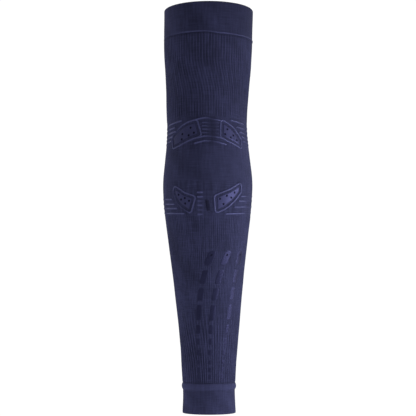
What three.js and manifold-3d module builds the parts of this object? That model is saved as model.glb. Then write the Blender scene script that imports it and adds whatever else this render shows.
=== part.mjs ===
// A long knitted compression sleeve for the arm, held open in the shape that it has on the arm.
// Millimetres, +Z up. The origin is the centre of the elbow. The elbow's point looks along -Y,
// +X is to the right of someone who looks at it, and the wrist end hangs down.
//
// Every place on the sleeve has two coordinates. Level is the distance along the arm's axis from the
// elbow, up towards the shoulder. Turn is the angle in degrees round the axis, 0 at the elbow's
// point and positive towards +X. Lift is the height above the outer face of the plain knit.

import * as THREE from 'three';
import { mergeVertices } from 'three/addons/utils/BufferGeometryUtils.js';
import Module from 'manifold-3d';

const wasm = await Module();
wasm.setup();

// Lengths along the arm.
const UPPER_ARM_LENGTH = 165;
const FOREARM_LENGTH = 265.5;

// Widths of the sleeve, seen with the elbow's point in front.
const TOP_WIDTH = 95.4;
const NECK_WIDTH = 85;
const ELBOW_WIDTH = 95;
const WRIST_WIDTH = 55.6;

// The arm's own form: its slight bend, the sideways sway of its axis and the elbow's point.
const ELBOW_BEND_ANGLE = 8.5;
const BEND_LENGTH = 60;
const AXIS_SWAY = 1.2;
const ELBOW_POINT_RISE = 3;
const ELBOW_POINT_SPREAD = 22;

// Thickness of the knit. The welt and the cuff are doubled over.
const KNIT_WALL = 1.2;
const BAND_WALL = 1.4;
const WELT_WALL = 2;
const CUFF_WALL = 1.8;
const RING_WALL = 2.2;

// Heights of the zones.
const WELT_HEIGHT = 33.5;
const UPPER_BAND_TOP = 42.5;
const UPPER_BAND_HEIGHT = 32.5;
const LOWER_BAND_DROP = 20.5;
const LOWER_BAND_HEIGHT = 35.5;
const CUFF_HEIGHT = 25;
const RING_HEIGHT = 7.5;
const RING_BULGE = 1.1;

// Zones and inlays keep this clearance to their neighbours.
const SEAM_GAP = 0.3;

// Raised ribs of the two elbow bands.
const RIB_WIDTH = 1.8;
const RIB_CREST = 0.9;
const RIB_HEIGHT = 0.8;
const RIB_ROOT = 0.5;
const SIDE_RIB_REACH = 105;

// The smooth pads in the bands, and the frame rib that runs round each.
const PAD_THICKNESS = 0.9;
const PAD_MARGIN = 3.1;
const DOT_DIAMETER = 1.7;

// The rows of smooth dashes on the forearm.
const DASH_THICKNESS = 0.7;
const DASH_WIDTH = 8.5;
const ROW_TOP_DROP = 92.5;
const ROW_LENGTH = 135.7;
const HEAD_DOT_DIAMETER = 2.2;

// How finely the solids are faceted.
const SIDES = 38;
const ARM_LEVEL_STEP = 32;
const FOREARM_LEVEL_STEP = 26;
const ELBOW_LEVEL_STEP = 9;
const RIB_TURN_STEP = 13;

const DEGREE = Math.PI / 180;

// The arm's form, from the wrist to the top. Width is the full width, flatness its depth as a share
// of the width, and sway the sideways place of the axis.
const ARM_SECTIONS = [
  { level: -1.0 * FOREARM_LENGTH, width: 1.018 * WRIST_WIDTH, flatness: 0.77, sway: 1.0 * AXIS_SWAY },
  { level: -0.92 * FOREARM_LENGTH, width: 0.989 * WRIST_WIDTH, flatness: 0.77, sway: 0.85 * AXIS_SWAY },
  { level: -0.84 * FOREARM_LENGTH, width: 1.02 * WRIST_WIDTH, flatness: 0.79, sway: 0.8 * AXIS_SWAY },
  { level: -0.76 * FOREARM_LENGTH, width: 1.066 * WRIST_WIDTH, flatness: 0.815, sway: 0.9 * AXIS_SWAY },
  { level: -0.69 * FOREARM_LENGTH, width: 0.657 * ELBOW_WIDTH, flatness: 0.835, sway: 0.9 * AXIS_SWAY },
  { level: -0.57 * FOREARM_LENGTH, width: 0.724 * ELBOW_WIDTH, flatness: 0.855, sway: 0.6 * AXIS_SWAY },
  { level: -0.44 * FOREARM_LENGTH, width: 0.8 * ELBOW_WIDTH, flatness: 0.865, sway: 0.2 * AXIS_SWAY },
  { level: -0.31 * FOREARM_LENGTH, width: 0.888 * ELBOW_WIDTH, flatness: 0.87, sway: -0.1 * AXIS_SWAY },
  { level: -0.15 * FOREARM_LENGTH, width: 0.987 * ELBOW_WIDTH, flatness: 0.88, sway: -0.3 * AXIS_SWAY },
  { level: -0.085 * FOREARM_LENGTH, width: 1.0 * ELBOW_WIDTH, flatness: 0.89, sway: -0.2 * AXIS_SWAY },
  { level: 0, width: 0.958 * ELBOW_WIDTH, flatness: 0.92, sway: -0.3 * AXIS_SWAY },
  { level: 0.11 * UPPER_ARM_LENGTH, width: 1.024 * NECK_WIDTH, flatness: 0.965, sway: -0.5 * AXIS_SWAY },
  { level: 0.2 * UPPER_ARM_LENGTH, width: 1.0 * NECK_WIDTH, flatness: 0.985, sway: -0.75 * AXIS_SWAY },
  { level: 0.32 * UPPER_ARM_LENGTH, width: 1.009 * NECK_WIDTH, flatness: 0.985, sway: -1.0 * AXIS_SWAY },
  { level: 0.52 * UPPER_ARM_LENGTH, width: 0.934 * TOP_WIDTH, flatness: 0.965, sway: -0.25 * AXIS_SWAY },
  { level: 0.72 * UPPER_ARM_LENGTH, width: 0.982 * TOP_WIDTH, flatness: 0.96, sway: 0 },
  { level: 1.0 * UPPER_ARM_LENGTH, width: 1.0 * TOP_WIDTH, flatness: 0.96, sway: 0.5 * AXIS_SWAY },
];

// Where one zone ends and the next begins.
const WELT_EDGE = UPPER_ARM_LENGTH - WELT_HEIGHT;
const UPPER_BAND_EDGE = UPPER_BAND_TOP - UPPER_BAND_HEIGHT;
const LOWER_BAND_EDGE = -LOWER_BAND_DROP - LOWER_BAND_HEIGHT;
const CUFF_EDGE = -FOREARM_LENGTH + CUFF_HEIGHT;
const RING_EDGE = CUFF_EDGE + RING_HEIGHT;

// The bands. Up is a place in the band, 0 at its lower edge and 1 at its upper edge.
const UPPER_BAND = { low: UPPER_BAND_EDGE, high: UPPER_BAND_TOP };
const LOWER_BAND = { low: LOWER_BAND_EDGE, high: -LOWER_BAND_DROP };

// The pads, each from its straight inner edge to its tip. Across is 0 at the inner edge and 1 at
// the tip. Slant moves the lower edge sideways, in degrees, from where the upper edge is.
const PADS = [
  {
    name: 'upper_pad_right', band: UPPER_BAND, inner: 25.2, tip: 53.7, slant: -3.2,
    rows: [
      { across: 0, bottom: 0.378, top: 0.76 },
      { across: 0.25, bottom: 0.31, top: 0.675 },
      { across: 0.5, bottom: 0.257, top: 0.584 },
      { across: 0.75, bottom: 0.202, top: 0.445 },
      { across: 1, bottom: 0.141, top: 0.297 },
    ],
    dots: [
      { across: 0.23, up: 0.593 },
      { across: 0.1, up: 0.435 },
      { across: 0.42, up: 0.354 },
      { across: 0.58, up: 0.426 },
      { across: 0.8, up: 0.3 },
    ],
  },
  {
    name: 'upper_pad_left', band: UPPER_BAND, inner: -20, tip: -62.3, slant: 12.8,
    rows: [
      { across: 0, bottom: 0.407, top: 0.767 },
      { across: 0.25, bottom: 0.341, top: 0.712 },
      { across: 0.5, bottom: 0.261, top: 0.618 },
      { across: 0.75, bottom: 0.184, top: 0.486 },
      { across: 1, bottom: 0.127, top: 0.366 },
    ],
    dots: [
      { across: 0.2, up: 0.629 },
      { across: 0.56, up: 0.457 },
      { across: 0.13, up: 0.469 },
      { across: 0.33, up: 0.4 },
      { across: 0.62, up: 0.3 },
    ],
  },
  {
    name: 'lower_pad_right', band: LOWER_BAND, inner: 12, tip: 44.4, slant: 2.4,
    rows: [
      { across: 0, bottom: 0.167, top: 0.518 },
      { across: 0.25, bottom: 0.246, top: 0.594 },
      { across: 0.5, bottom: 0.365, top: 0.659 },
      { across: 0.75, bottom: 0.519, top: 0.74 },
      { across: 1, bottom: 0.707, top: 0.831 },
    ],
    dots: [
      { across: 0.11, up: 0.479 },
      { across: 0.4, up: 0.567 },
      { across: 0.6, up: 0.514 },
      { across: 0.76, up: 0.662 },
      { across: 0.25, up: 0.324 },
    ],
  },
  {
    name: 'lower_pad_left', band: LOWER_BAND, inner: -12, tip: -41.2, slant: -13.7,
    rows: [
      { across: 0, bottom: 0.158, top: 0.498 },
      { across: 0.25, bottom: 0.241, top: 0.548 },
      { across: 0.5, bottom: 0.331, top: 0.598 },
      { across: 0.75, bottom: 0.46, top: 0.682 },
      { across: 1, bottom: 0.69, top: 0.745 },
    ],
    dots: [
      { across: 0.12, up: 0.42 },
      { across: 0.37, up: 0.5 },
      { across: 0.55, up: 0.458 },
      { across: 0.75, up: 0.6 },
      { across: 0.28, up: 0.34 },
    ],
  },
];

// The ladder of short ribs over the elbow, between the pads of each band.
const UPPER_RUNGS = { from: -6.5, to: 16, ups: [0.785, 0.675, 0.57, 0.465] };
const LOWER_RUNGS = { from: -13.5, to: 6, ups: [0.685, 0.555, 0.435, 0.31, 0.175, 0.045] };

// Ribs that leave the frames of the pads and run round the sides of the arm, down to their far end.
const UPPER_SIDE_RIBS = [
  { start: 37, up: 0.885, farUp: 0.765 },
  { start: 49, up: 0.7, farUp: 0.63 },
  { start: 53, up: 0.565, farUp: 0.48 },
  { start: 57, up: 0.43, farUp: 0.36 },
  { start: 60, up: 0.3, farUp: 0.25 },
  { start: -39, up: 0.885, farUp: 0.765 },
  { start: -52, up: 0.7, farUp: 0.65 },
  { start: -50, up: 0.575, farUp: 0.5 },
  { start: -57, up: 0.43, farUp: 0.38 },
  { start: -60, up: 0.3, farUp: 0.25 },
];
const LOWER_SIDE_RIBS = [
  { start: 50, up: 0.556, farUp: 0.55 },
  { start: 46, up: 0.415, farUp: 0.41 },
  { start: 39, up: 0.24, farUp: 0.24 },
  { start: 27, up: 0.05, farUp: 0.075 },
  { start: -53, up: 0.465, farUp: 0.46 },
  { start: -48.5, up: 0.324, farUp: 0.32 },
  { start: -44, up: 0.198, farUp: 0.19 },
  { start: -33, up: 0.05, farUp: 0.05 },
];

// The long ribs of the upper band: the crown over its ladder, the threshold that joins the feet of
// the frames under it, and the sill below.
const CROWN_RIB = [
  { turn: -16, up: 0.885 },
  { turn: -9, up: 0.92 },
  { turn: -2, up: 0.94 },
  { turn: 4, up: 0.92 },
  { turn: 8, up: 0.89 },
  { turn: 20, up: 0.86 },
];
const THRESHOLD_RIB = [
  { turn: -13, up: 0.32 },
  { turn: -4, up: 0.365 },
  { turn: 5, up: 0.36 },
  { turn: 19, up: 0.32 },
];
const SILL_RIB = [
  { turn: -17, up: 0.155 },
  { turn: -4, up: 0.225 },
  { turn: 5, up: 0.22 },
  { turn: 14, up: 0.19 },
  { turn: 25, up: 0.13 },
];

// The leaning block at the foot of the lower ladder.
const BLOCK = [
  { turn: 1.3, up: 0.15 },
  { turn: -0.6, up: 0.43 },
];
const BLOCK_WIDTH = 3.5;
const BLOCK_HEIGHT = 0.6;

// The forearm's rows lean as they run down. Ease says how fast a row comes upright.
const ROWS = [
  { name: 'row_1', start: 8, end: -23, ease: 2.95, dashes: 10 },
  { name: 'row_2', start: 32.6, end: 1.2, ease: 2.8, dashes: 10 },
  { name: 'row_3', start: 58, end: 28.5, ease: 1.35, dashes: 10 },
];

// The dashes of a row, from its head down. From and to are shares of the row's length, and width is
// a share of the head's width.
const DASHES = [
  { from: 0, to: 0.116, width: 1 },
  { from: 0.15, to: 0.258, width: 0.75 },
  { from: 0.289, to: 0.386, width: 0.69 },
  { from: 0.42, to: 0.542, width: 0.63 },
  { from: 0.576, to: 0.646, width: 0.51 },
  { from: 0.681, to: 0.731, width: 0.44 },
  { from: 0.77, to: 0.813, width: 0.42 },
  { from: 0.85, to: 0.883, width: 0.38 },
  { from: 0.906, to: 0.941, width: 0.36 },
  { from: 0.962, to: 1, width: 0.34 },
];

// Value of one column of the arm's sections at a level, on a smooth curve through the rows.
function column(key, level) {
  const rows = ARM_SECTIONS;
  const at = THREE.MathUtils.clamp(level, rows[0].level, rows[rows.length - 1].level);
  let i = 0;
  while (i < rows.length - 2 && rows[i + 1].level <= at) i++;
  const slope = (k) => (rows[k + 1][key] - rows[k][key]) / (rows[k + 1].level - rows[k].level);
  const tangent = (k) => {
    if (k === 0) return slope(0);
    if (k === rows.length - 1) return slope(k - 1);
    const before = rows[k].level - rows[k - 1].level;
    const after = rows[k + 1].level - rows[k].level;
    return (slope(k - 1) * after + slope(k) * before) / (before + after);
  };
  const span = rows[i + 1].level - rows[i].level;
  const t = (at - rows[i].level) / span;
  const rise = 3 * t ** 2 - 2 * t ** 3;
  return rows[i][key] * (1 - rise) + rows[i + 1][key] * rise
    + span * (tangent(i) * (t ** 3 - 2 * t ** 2 + t) + tangent(i + 1) * (t ** 3 - t ** 2));
}

// The arm's axis at a level: straight below the elbow, then an arc, then straight again.
function axisAt(level) {
  const bend = ELBOW_BEND_ANGLE * DEGREE;
  const radius = BEND_LENGTH / bend;
  const tilt = THREE.MathUtils.clamp(level / BEND_LENGTH + 0.5, 0, 1) * bend;
  const below = Math.min(level + BEND_LENGTH / 2, 0);
  const above = Math.max(level - BEND_LENGTH / 2, 0);
  return {
    tilt,
    y: radius * (1 - Math.cos(tilt)) + above * Math.sin(tilt),
    z: -BEND_LENGTH / 2 + radius * Math.sin(tilt) + below + above * Math.cos(tilt),
  };
}

// A point of the sleeve from its turn in degrees, level and lift.
function spot(turn, level, lift) {
  const angle = turn * DEGREE;
  const halfWidth = column('width', level) / 2;
  const halfDepth = halfWidth * column('flatness', level);
  const axis = axisAt(level);
  const outX = halfDepth * Math.sin(angle);
  const outY = halfWidth * Math.cos(angle);
  const facing = Math.max(Math.cos(angle), 0) ** 3;
  const point = ELBOW_POINT_RISE * facing * Math.exp(-((level / ELBOW_POINT_SPREAD) ** 2));
  const push = (lift + point) / Math.hypot(outX, outY);
  const across = halfWidth * Math.sin(angle) + push * outX;
  const front = halfDepth * Math.cos(angle) + push * outY;
  return new THREE.Vector3(
    column('sway', level) + across,
    axis.y - front * Math.cos(axis.tilt),
    axis.z + front * Math.sin(axis.tilt),
  );
}

// Degrees of turn that a length across the sleeve takes at a level.
function degreesFor(length, level) {
  return length / (column('width', level) / 2) / DEGREE;
}

// A geometry from its points and its triangles.
function meshOf(points, triangles) {
  const geometry = new THREE.BufferGeometry();
  geometry.setAttribute('position', new THREE.Float32BufferAttribute(points.flatMap((p) => p.toArray()), 3));
  geometry.setIndex(triangles);
  return geometry;
}

// Triangles between two neighbouring rows of points, given by their first indices.
function quad(triangles, a, b, c, d) {
  triangles.push(a, b, c, a, c, d);
}

// A tube round the arm. Its profile is a closed loop of levels and lifts, run up the outer face
// and down the inner one.
function tube(profile) {
  const points = [];
  const triangles = [];
  for (let side = 0; side < SIDES; side++) {
    for (const { level, lift } of profile) points.push(spot((360 * side) / SIDES, level, lift));
  }
  for (let side = 0; side < SIDES; side++) {
    const here = side * profile.length;
    const there = ((side + 1) % SIDES) * profile.length;
    for (let k = 0; k < profile.length; k++) {
      const next = (k + 1) % profile.length;
      quad(triangles, here + k, there + k, there + next, here + next);
    }
  }
  return meshOf(points, triangles);
}

// Profile of a zone with an even wall.
function wallProfile(low, high, wall, levelStep = ARM_LEVEL_STEP) {
  const steps = Math.max(2, Math.ceil((high - low) / levelStep));
  const outer = [];
  for (let i = 0; i <= steps; i++) {
    outer.push({ level: THREE.MathUtils.lerp(low, high, i / steps), lift: 0 });
  }
  const inner = outer.map(({ level }) => ({ level, lift: -wall })).reverse();
  return [...outer, ...inner];
}

// Profile of a turned roll: a round outer side on a straight inner one.
function rollProfile(low, high, wall, bulge) {
  const arcSteps = 4;
  const outer = [];
  for (let i = 0; i <= arcSteps; i++) {
    const share = i / arcSteps;
    outer.push({ level: THREE.MathUtils.lerp(low, high, share), lift: bulge * Math.sin(Math.PI * share) });
  }
  return [...outer, { level: high, lift: bulge - wall }, { level: low, lift: bulge - wall }];
}

// The direction straight out of the sleeve at a place.
function outwards(turn, level) {
  return spot(turn, level, 1).sub(spot(turn, level, 0)).normalize();
}

// A raised rib along a path of turns and levels, its root sunk into the wall that carries it.
function rib(path, { width = RIB_WIDTH, crest = RIB_CREST, height = RIB_HEIGHT, closed = false } = {}) {
  const places = path.map(({ turn, level }) => spot(turn, level, 0));
  const points = [];
  const triangles = [];
  path.forEach(({ turn, level }, i) => {
    const before = places[closed ? (i + path.length - 1) % path.length : Math.max(i - 1, 0)];
    const after = places[closed ? (i + 1) % path.length : Math.min(i + 1, path.length - 1)];
    const out = outwards(turn, level);
    const side = after.clone().sub(before).normalize().cross(out).normalize();
    const corner = (offset, lift) => places[i].clone().addScaledVector(side, offset).addScaledVector(out, lift);
    points.push(corner(-width / 2, -RIB_ROOT), corner(width / 2, -RIB_ROOT));
    points.push(corner(crest / 2, height), corner(-crest / 2, height));
  });
  const links = closed ? path.length : path.length - 1;
  for (let i = 0; i < links; i++) {
    const here = 4 * i;
    const there = 4 * ((i + 1) % path.length);
    for (let k = 0; k < 4; k++) {
      const next = (k + 1) % 4;
      quad(triangles, here + k, there + k, there + next, here + next);
    }
  }
  if (!closed) {
    const last = 4 * (path.length - 1);
    quad(triangles, 0, 1, 2, 3);
    quad(triangles, last + 3, last + 2, last + 1, last);
  }
  return meshOf(points, triangles);
}

// A thin slab that lies on the sleeve. Its columns are rows of places along the slab, and all
// columns have as many places.
function slab(columns, innerLift, thickness) {
  const rows = columns[0].length;
  const points = [];
  const triangles = [];
  for (const lift of [innerLift, innerLift + thickness]) {
    for (const places of columns) {
      for (const { turn, level } of places) points.push(spot(turn, level, lift));
    }
  }
  const layer = columns.length * rows;
  const index = (column, row) => column * rows + row;
  for (let i = 0; i < columns.length - 1; i++) {
    for (let k = 0; k < rows - 1; k++) {
      const [a, b, c, d] = [index(i, k), index(i + 1, k), index(i + 1, k + 1), index(i, k + 1)];
      quad(triangles, layer + a, layer + b, layer + c, layer + d);
      quad(triangles, a, d, c, b);
    }
  }
  const edge = [];
  for (let i = 0; i < columns.length - 1; i++) edge.push(index(i, 0));
  for (let k = 0; k < rows - 1; k++) edge.push(index(columns.length - 1, k));
  for (let i = columns.length - 1; i > 0; i--) edge.push(index(i, rows - 1));
  for (let k = rows - 1; k > 0; k--) edge.push(index(0, k));
  edge.forEach((a, i) => {
    const b = edge[(i + 1) % edge.length];
    quad(triangles, a, b, layer + b, layer + a);
  });
  return meshOf(points, triangles);
}

// A round pin that goes straight through a slab at a place, for the dots.
function pin(turn, level, diameter, reach) {
  const geometry = new THREE.CylinderGeometry(diameter / 2, diameter / 2, reach, 6);
  const upright = new THREE.Quaternion().setFromUnitVectors(new THREE.Vector3(0, 1, 0), outwards(turn, level));
  geometry.applyQuaternion(upright);
  geometry.translate(...spot(turn, level, 0).toArray());
  return geometry;
}

// The solid that a closed geometry bounds.
function solidOf(geometry) {
  const plain = geometry.clone();
  plain.deleteAttribute('normal');
  plain.deleteAttribute('uv');
  const merged = mergeVertices(plain);
  const mesh = new wasm.Mesh({
    numProp: 3,
    vertProperties: new Float32Array(merged.attributes.position.array),
    triVerts: new Uint32Array(merged.index.array),
  });
  return new wasm.Manifold(mesh);
}

// The geometry of a solid.
function geometryOf(solid) {
  const { vertProperties, triVerts } = solid.getMesh();
  const geometry = new THREE.BufferGeometry();
  geometry.setAttribute('position', new THREE.BufferAttribute(new Float32Array(vertProperties), 3));
  geometry.setIndex(new THREE.BufferAttribute(new Uint32Array(triVerts), 1));
  return geometry;
}

// A geometry with others joined to it or cut from it.
function joined(base, additions) {
  return geometryOf(additions.reduce((solid, extra) => solid.add(solidOf(extra)), solidOf(base)));
}

function drilled(base, pins) {
  return geometryOf(pins.reduce((solid, hole) => solid.subtract(solidOf(hole)), solidOf(base)));
}

// The level of a place in a band.
function bandLevel(band, up) {
  return THREE.MathUtils.lerp(band.low, band.high, up);
}

// A place in a pad, from its share across and its share of the band's height.
function padPlace(pad, across, up) {
  const turn = THREE.MathUtils.lerp(pad.inner, pad.tip, across) + pad.slant * (1 - up);
  return { turn, level: bandLevel(pad.band, up) };
}

// A pad's outline, in order round it, grown by a margin.
function padOutline(pad, margin) {
  const bottom = pad.rows.map(({ across, bottom: up }) => padPlace(pad, across, up));
  const top = pad.rows.map(({ across, top: up }) => padPlace(pad, across, up));
  const loop = [...bottom, ...top.reverse()];
  const middle = bandLevel(pad.band, 0.5);
  const perDegree = 1 / degreesFor(1, middle);
  const flat = loop.map(({ turn, level }) => new THREE.Vector2(turn * perDegree, level));
  const winding = Math.sign(pad.tip - pad.inner);
  return flat.map((place, i) => {
    const before = flat[(i + flat.length - 1) % flat.length];
    const after = flat[(i + 1) % flat.length];
    const entry = place.clone().sub(before).normalize();
    const exit = after.clone().sub(place).normalize();
    const out = new THREE.Vector2(entry.y + exit.y, -entry.x - exit.x).multiplyScalar(winding);
    const corner = Math.max(out.length() / 2, 0.75);
    out.setLength(margin / corner);
    return { turn: (place.x + out.x) / perDegree, level: place.y + out.y };
  });
}

// A path from one turn to another, in steps that follow the round wall.
function roundPath(from, to, level, farLevel = level) {
  const steps = Math.max(1, Math.round(Math.abs(to - from) / RIB_TURN_STEP));
  const path = [];
  for (let i = 0; i <= steps; i++) {
    const share = i / steps;
    path.push({
      turn: THREE.MathUtils.lerp(from, to, share),
      level: THREE.MathUtils.lerp(level, farLevel, share),
    });
  }
  return path;
}

// A path from places given by turn and up in a band.
function bandPath(band, places) {
  return places.map(({ turn, up }) => ({ turn, level: bandLevel(band, up) }));
}

// The ribs that both bands have: a frame round each pad, the rungs and the side ribs.
function commonRibs(band, rungs, sideRibs) {
  const frames = PADS.filter((pad) => pad.band === band)
    .map((pad) => rib(padOutline(pad, PAD_MARGIN), { closed: true }));
  const ladder = rungs.ups.map((up) => rib(roundPath(rungs.from, rungs.to, bandLevel(band, up))));
  const sides = sideRibs.map(({ start, up, farUp }) => {
    const end = Math.sign(start) * SIDE_RIB_REACH;
    return rib(roundPath(start, end, bandLevel(band, up), bandLevel(band, farUp)));
  });
  return [...frames, ...ladder, ...sides];
}

function makeTopWelt() {
  return tube(wallProfile(WELT_EDGE + SEAM_GAP, UPPER_ARM_LENGTH, WELT_WALL));
}

function makeUpperArmKnit() {
  return tube(wallProfile(UPPER_BAND_TOP + SEAM_GAP, WELT_EDGE, KNIT_WALL));
}

function makeUpperElbowBand() {
  const wall = tube(wallProfile(UPPER_BAND.low + SEAM_GAP, UPPER_BAND.high, BAND_WALL, ELBOW_LEVEL_STEP));
  const ribs = commonRibs(UPPER_BAND, UPPER_RUNGS, UPPER_SIDE_RIBS);
  for (const places of [CROWN_RIB, THRESHOLD_RIB, SILL_RIB]) ribs.push(rib(bandPath(UPPER_BAND, places)));
  return joined(wall, ribs);
}

function makeElbowCapKnit() {
  return tube(wallProfile(LOWER_BAND.high + SEAM_GAP, UPPER_BAND.low, KNIT_WALL, ELBOW_LEVEL_STEP));
}

function makeLowerElbowBand() {
  const wall = tube(wallProfile(LOWER_BAND.low + SEAM_GAP, LOWER_BAND.high, BAND_WALL, ELBOW_LEVEL_STEP));
  const ribs = commonRibs(LOWER_BAND, LOWER_RUNGS, LOWER_SIDE_RIBS);
  const shape = { width: BLOCK_WIDTH, crest: BLOCK_WIDTH - RIB_CREST, height: BLOCK_HEIGHT };
  ribs.push(rib(bandPath(LOWER_BAND, BLOCK), shape));
  return joined(wall, ribs);
}

function makeForearmKnit() {
  return tube(wallProfile(RING_EDGE + SEAM_GAP, LOWER_BAND.low, KNIT_WALL, FOREARM_LEVEL_STEP));
}

function makeWristRing() {
  return tube(rollProfile(CUFF_EDGE + SEAM_GAP, RING_EDGE, RING_WALL, RING_BULGE));
}

function makeWristCuff() {
  return tube(wallProfile(-FOREARM_LENGTH, CUFF_EDGE, CUFF_WALL));
}

// A perforated pad, seated a clearance off the wall of its band.
function makePad(pad) {
  const columns = pad.rows.map(({ across, bottom, top }) => (
    [0, 0.5, 1].map((share) => padPlace(pad, across, THREE.MathUtils.lerp(bottom, top, share)))
  ));
  if (pad.tip < pad.inner) columns.reverse();
  const pins = pad.dots.map(({ across, up }) => {
    const { turn, level } = padPlace(pad, across, up);
    return pin(turn, level, DOT_DIAMETER, 4 * (SEAM_GAP + PAD_THICKNESS));
  });
  return drilled(slab(columns, SEAM_GAP, PAD_THICKNESS), pins);
}

// The turn of a row's middle line at a share of its length.
function rowTurn(row, share) {
  return row.end + (row.start - row.end) * (1 - share) ** row.ease;
}

// A dash of a row. The head of a row is rounded at both ends and has a dot.
function makeDash(row, { from, to, width }, isHead) {
  const stations = isHead ? [0, 0.08, 0.25, 0.5, 0.75, 0.92, 1] : [0, 0.5, 1];
  const columns = [-1, 0, 1].map((side) => stations.map((station) => {
    const share = THREE.MathUtils.lerp(to, from, station);
    const level = -ROW_TOP_DROP - share * ROW_LENGTH;
    const roundness = isHead ? Math.max(Math.sqrt(1 - (2 * station - 1) ** 4), 0.35) : 1;
    const halfWidth = degreesFor((width * DASH_WIDTH * roundness) / 2, level);
    return { turn: rowTurn(row, share) + side * halfWidth, level };
  }));
  const body = slab(columns, SEAM_GAP, DASH_THICKNESS);
  if (!isHead) return body;
  const share = THREE.MathUtils.lerp(from, to, 0.3);
  const place = { turn: rowTurn(row, share), level: -ROW_TOP_DROP - share * ROW_LENGTH };
  return drilled(body, [pin(place.turn, place.level, HEAD_DOT_DIAMETER, 4 * (SEAM_GAP + DASH_THICKNESS))]);
}

function finish(color, roughness) {
  return new THREE.MeshStandardMaterial({ color, roughness, metalness: 0 });
}

const group = new THREE.Group();
group.name = 'arm_compression_sleeve';

function place(name, geometry, color, roughness) {
  geometry.computeVertexNormals();
  const mesh = new THREE.Mesh(geometry, finish(color, roughness));
  mesh.name = name;
  group.add(mesh);
}

const KNIT_NAVY = 0x2b2c44;
const WELT_NAVY = 0x272840;
const BAND_NAVY = 0x2d2e48;
const PAD_NAVY = 0x232640;

place('top_welt', makeTopWelt(), WELT_NAVY, 0.9);
place('upper_arm_knit', makeUpperArmKnit(), KNIT_NAVY, 0.88);
place('upper_elbow_band', makeUpperElbowBand(), BAND_NAVY, 0.82);
place('elbow_cap_knit', makeElbowCapKnit(), KNIT_NAVY, 0.88);
place('lower_elbow_band', makeLowerElbowBand(), BAND_NAVY, 0.82);
place('forearm_knit', makeForearmKnit(), KNIT_NAVY, 0.88);
place('wrist_ring', makeWristRing(), WELT_NAVY, 0.88);
place('wrist_cuff', makeWristCuff(), WELT_NAVY, 0.9);

for (const pad of PADS) place(pad.name, makePad(pad), PAD_NAVY, 0.45);

for (const row of ROWS) {
  DASHES.slice(0, row.dashes).forEach((dash, i) => {
    const name = i === 0 ? `${row.name}_head` : `${row.name}_dash_${i}`;
    place(name, makeDash(row, dash, i === 0), PAD_NAVY, 0.45);
  });
}

export default group;
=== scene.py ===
"""A navy knitted compression sleeve for the arm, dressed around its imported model.

Places on the sleeve are given by turn, in degrees round the arm from the elbow's point, and by level,
in millimetres along the arm from the elbow. Lift is the height above the outer face of the knit.
"""

import logging
import math
from dataclasses import dataclass, field
from enum import Enum
from typing import Callable, Sequence

import bpy
import numpy as np
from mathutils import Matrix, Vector

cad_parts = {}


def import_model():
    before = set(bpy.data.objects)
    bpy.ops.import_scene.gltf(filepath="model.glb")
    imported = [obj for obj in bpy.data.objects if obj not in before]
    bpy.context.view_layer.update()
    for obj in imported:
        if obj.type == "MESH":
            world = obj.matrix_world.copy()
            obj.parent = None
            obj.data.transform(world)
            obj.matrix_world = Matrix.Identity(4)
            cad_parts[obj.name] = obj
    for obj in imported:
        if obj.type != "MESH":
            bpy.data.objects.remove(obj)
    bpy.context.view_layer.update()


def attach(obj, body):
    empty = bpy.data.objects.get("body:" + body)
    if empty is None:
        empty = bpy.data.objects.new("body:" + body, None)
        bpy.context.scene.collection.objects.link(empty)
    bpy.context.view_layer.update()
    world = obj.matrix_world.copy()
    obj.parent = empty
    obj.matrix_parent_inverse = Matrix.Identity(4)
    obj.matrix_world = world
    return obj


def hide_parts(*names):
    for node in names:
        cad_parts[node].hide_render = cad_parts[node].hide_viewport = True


log = logging.getLogger("sleeve")

MM = 0.001
TAU = 2.0 * math.pi
BODY = "root"
STITCH_MAP = "Stitch"
SHARP_EDGE = math.radians(55.0)
OCTAVE_SHARE = 0.55
STREAK_OCTAVES = 2.0

Array = np.ndarray
Numbers = np.ndarray | float
Span = tuple[float, float]
Line = Sequence[tuple[float, float]]
Colour = tuple[float, float, float]
Piece = bpy.types.Object

BLACK: Colour = (0.0, 0.0, 0.0)
WHITE: Colour = (1.0, 1.0, 1.0)


class Slot(Enum):
    """The record's material slots."""

    DOUBLE = "double_knit"
    RIB = "rib_knit"
    BAND = "band_knit"
    PLAIN = "plain_knit"
    PAD = "smooth_pad"


def smooth_step(low: float, high: float, value: Array) -> Array:
    """Smooth rise from 0 at the low value to 1 at the high one, or a fall where low is the greater."""
    t = np.clip((value - low) / (high - low), 0.0, 1.0)
    return t * t * (3.0 - 2.0 * t)


def ridge(distance: Array, width: float, height: float) -> Array:
    """Round-topped ridge from the distance to its middle line."""
    return height * np.sqrt(np.clip(1.0 - (2.0 * distance / width) ** 2, 0.0, 1.0))


def curve_through(xs: Array, ys: Array, at: Array) -> Array:
    """A smooth curve through points.

    Args:
        xs: rising places of the points.
        ys: values of the points.
        at: places to look up.

    Returns:
        Values of the curve.
    """
    span = np.diff(xs)
    slope = np.diff(ys) / span
    tangent = np.empty(len(xs))
    tangent[0], tangent[-1] = slope[0], slope[-1]
    tangent[1:-1] = (slope[:-1] * span[1:] + slope[1:] * span[:-1]) / (span[1:] + span[:-1])
    i = np.clip(np.searchsorted(xs, at, side="right") - 1, 0, len(xs) - 2)
    t = (at - xs[i]) / span[i]
    rise = 3.0 * t**2 - 2.0 * t**3
    bow = tangent[i] * (t**3 - 2.0 * t**2 + t) + tangent[i + 1] * (t**3 - t**2)
    return ys[i] * (1.0 - rise) + ys[i + 1] * rise + span[i] * bow


def flat_length(gap: Array) -> Array:
    """Length of steps on the flat."""
    return np.hypot(gap[..., 0], gap[..., 1])


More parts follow.
